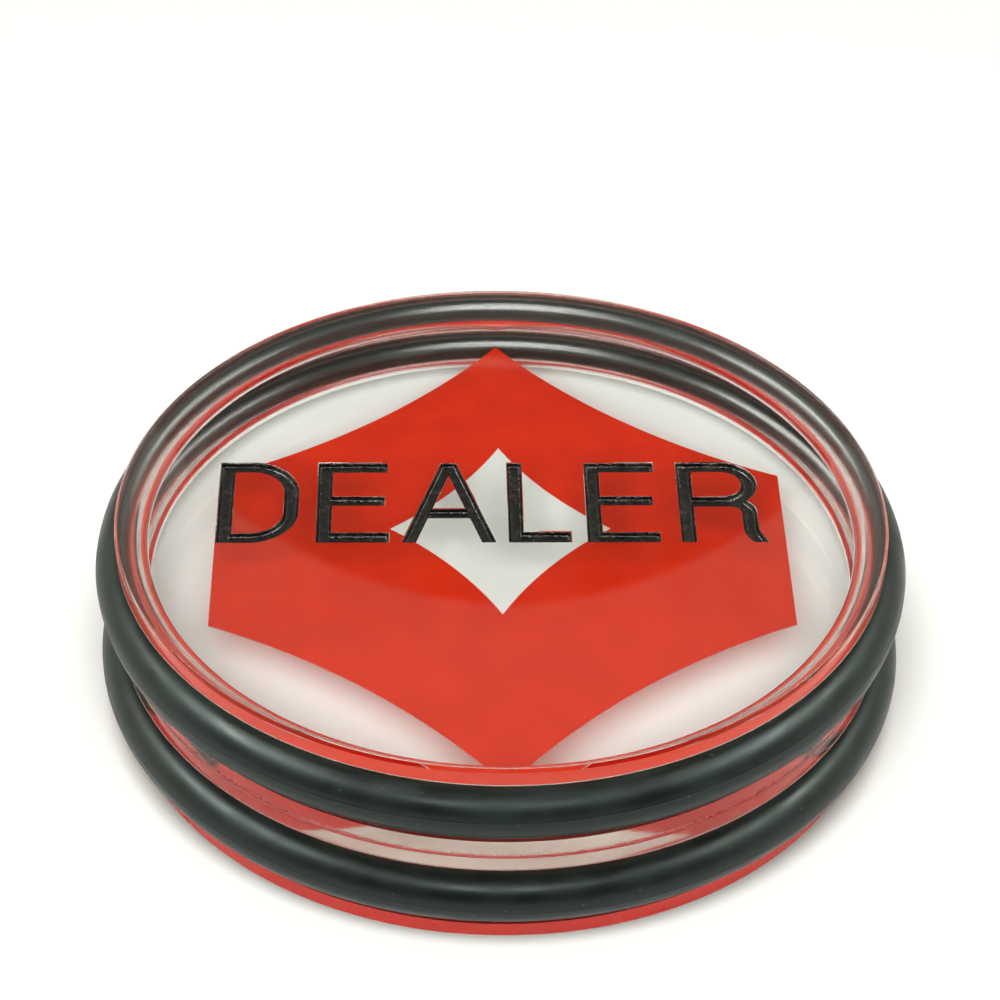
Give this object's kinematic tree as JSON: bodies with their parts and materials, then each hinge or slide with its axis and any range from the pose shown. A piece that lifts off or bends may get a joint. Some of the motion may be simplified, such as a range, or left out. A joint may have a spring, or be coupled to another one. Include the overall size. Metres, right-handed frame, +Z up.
{
  "type": "dealer button",
  "caption": "Clear two-disc dealer button with a red badge printed inside, black-filled engraving on both faces and a black rubber bumper ring round each disc.",
  "frame": {"origin": "centre of the lower face", "axes": "+Z up through the upper face, +Y towards the top of the upper face's letters, +X to the right of the word"},
  "size_m": [0.076, 0.076, 0.02],
  "materials": {
    "clear_acrylic": "clear cast acrylic, polished faces, fine-turned rim",
    "clear_adhesive": "clear cured adhesive",
    "red_print": "semi-gloss red screen print",
    "white_print": "semi-gloss white screen print",
    "black_paint": "glossy black paint, brushed into the cut",
    "black_rubber": "satin moulded nitrile rubber"
  },
  "bodies": {
    "puck": {"upper_disc": "clear_acrylic", "lower_disc": "clear_acrylic", "bond_layer": "clear_adhesive", "emblem_white_core": "white_print", "emblem_red_upper": "red_print", "emblem_red_lower": "red_print", "upper_letter_1_d": "black_paint", "upper_letter_2_e": "black_paint", "upper_letter_3_a": "black_paint", "upper_letter_4_l": "black_paint", "upper_letter_5_e": "black_paint", "upper_letter_6_r": "black_paint", "lower_letter_1_d": "black_paint", "lower_letter_2_e": "black_paint", "lower_letter_3_a": "black_paint", "lower_letter_4_l": "black_paint", "lower_letter_5_e": "black_paint", "lower_letter_6_r": "black_paint"},
    "upper_ring": {"upper_o_ring": "black_rubber"},
    "lower_ring": {"lower_o_ring": "black_rubber"}
  },
  "joints": [
    {"name": "upper_ring_turn", "type": "hinge", "parent": "puck", "child": "upper_ring", "pos_m": [0, 0, 0.015], "axis": [0, 0, 1], "continuous": true},
    {"name": "lower_ring_turn", "type": "hinge", "parent": "puck", "child": "lower_ring", "pos_m": [0, 0, 0.005], "axis": [0, 0, 1], "continuous": true}
  ]
}
